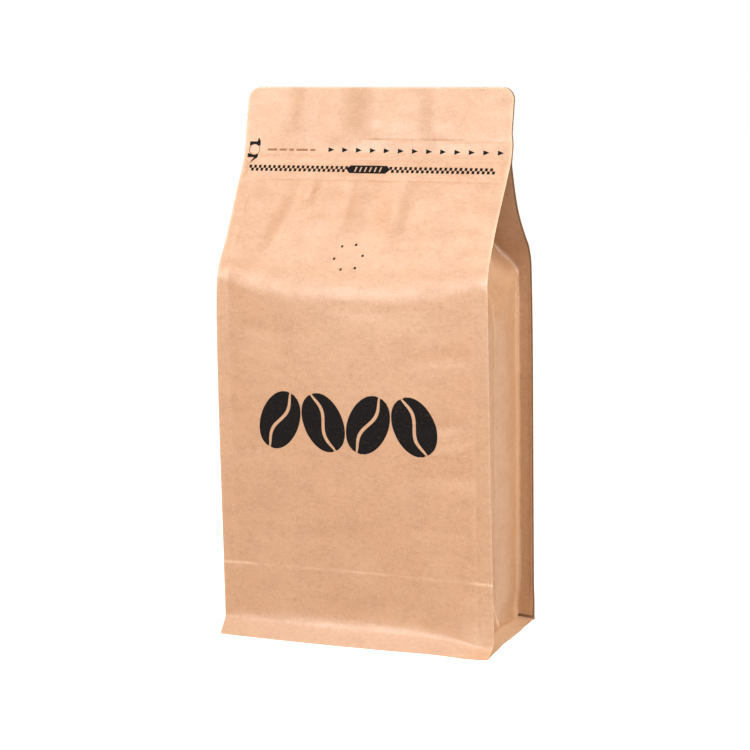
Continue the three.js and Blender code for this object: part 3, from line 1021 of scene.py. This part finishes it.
def reference_camera():
    """The camera of the reference view, turned by azimuth, elevation and roll."""
    s = bpy.context.scene.bag_studio
    back = direction(s.azimuth, s.elevation)
    right = Vector((0, 0, 1)).cross(back).normalized()
    up = back.cross(right)
    turned_right = right * math.cos(s.roll) + up * math.sin(s.roll)
    turned_up = up * math.cos(s.roll) - right * math.sin(s.roll)
    data = bpy.data.cameras.new("reference_camera")
    data.lens, data.sensor_width = s.lens, 36.0
    data.clip_start, data.clip_end = 0.05, 100
    camera = in_scene("reference_camera", data)
    turn = Matrix((turned_right, turned_up, back)).transposed().to_4x4()
    camera.matrix_world = Matrix.Translation(Vector(s.place)) @ turn
    bpy.context.scene.camera = camera


# ---------------------------------------------------------------- operators

class BAG_OT_front_panel(bpy.types.Operator):
    """Makes the front panel and pricks the pinholes of the valve through it"""

    bl_idname = "coffee_bag.front_panel"
    bl_label = "Front Panel"

    def execute(self, context):
        prick_pinholes(large_panel("front_panel", FRONT, 1.25))
        return {"FINISHED"}


class BAG_OT_back_panel(bpy.types.Operator):
    """Makes the back panel"""

    bl_idname = "coffee_bag.back_panel"
    bl_label = "Back Panel"

    def execute(self, context):
        large_panel("back_panel", BACK, 1.5)
        return {"FINISHED"}


class BAG_OT_side_gussets(bpy.types.Operator):
    """Makes the two side gussets, folded in under the lip"""

    bl_idname = "coffee_bag.side_gussets"
    bl_label = "Side Gussets"

    def execute(self, context):
        side_gusset("gusset_right", 1)
        side_gusset("gusset_left", -1)
        return {"FINISHED"}


class BAG_OT_foot(bpy.types.Operator):
    """Makes the bottom panel"""

    bl_idname = "coffee_bag.foot"
    bl_label = "Foot"

    def execute(self, context):
        foot_panel()
        return {"FINISHED"}


class BAG_OT_print(bpy.types.Operator):
    """Prints the marks along the zip and the row of beans"""

    bl_idname = "coffee_bag.print_marks"
    bl_label = "Print"

    def execute(self, context):
        print_piece("zip_marks", zip_print())
        print_piece("dash_row", dash_row(), "thin_brown_ink")
        print_piece("zip_plate", zip_plate())
        print_piece("pull_sign", pull_sign())
        print_piece("bean_row", bean_row())
        return {"FINISHED"}


class BAG_OT_studio(bpy.types.Operator):
    """Sets up the floor, the lights and the camera"""

    bl_idname = "coffee_bag.studio"
    bl_label = "Studio"

    def execute(self, context):
        reference_camera()
        studio_floor()
        studio_air()
        for name, box in SOFTBOXES.items():
            soft_light(name, *box)
        context.scene.view_settings.view_transform = "Standard"
        return {"FINISHED"}


class BAG_PT_panel(bpy.types.Panel):
    """Buttons and sizes of the coffee bag"""

    bl_idname = "BAG_PT_panel"
    bl_label = "Coffee Bag"
    bl_space_type = "VIEW_3D"
    bl_region_type = "UI"
    bl_category = "Coffee Bag"

    def draw(self, context):
        for operator in OPERATORS:
            self.layout.operator(operator.bl_idname)
        for key in GROUPS:
            group = getattr(context.scene, key)
            for name in group.__annotations__:
                self.layout.prop(group, name)


GROUPS = {
    "bag_sizes": BagSizes,
    "bag_finish": PaperFinish,
    "bag_print": PrintSizes,
    "bag_studio": StudioSettings,
}
OPERATORS = (
    BAG_OT_studio,
    BAG_OT_front_panel,
    BAG_OT_back_panel,
    BAG_OT_side_gussets,
    BAG_OT_foot,
    BAG_OT_print,
)


def register():
    """Adds the classes, and their settings to the scene."""
    for cls in (*GROUPS.values(), *OPERATORS, BAG_PT_panel):
        bpy.utils.register_class(cls)
    for name, group in GROUPS.items():
        setattr(bpy.types.Scene, name, PointerProperty(type=group))


def unregister():
    """Takes the settings and the classes away again."""
    for name in GROUPS:
        delattr(bpy.types.Scene, name)
    for cls in reversed((*GROUPS.values(), *OPERATORS, BAG_PT_panel)):
        bpy.utils.unregister_class(cls)


def main():
    """Builds the whole bag in its studio."""
    register()
    bpy.ops.coffee_bag.studio()
    bpy.ops.coffee_bag.front_panel()
    bpy.ops.coffee_bag.back_panel()
    bpy.ops.coffee_bag.side_gussets()
    bpy.ops.coffee_bag.foot()
    bpy.ops.coffee_bag.print_marks()


if __name__ == "__main__":
    main()
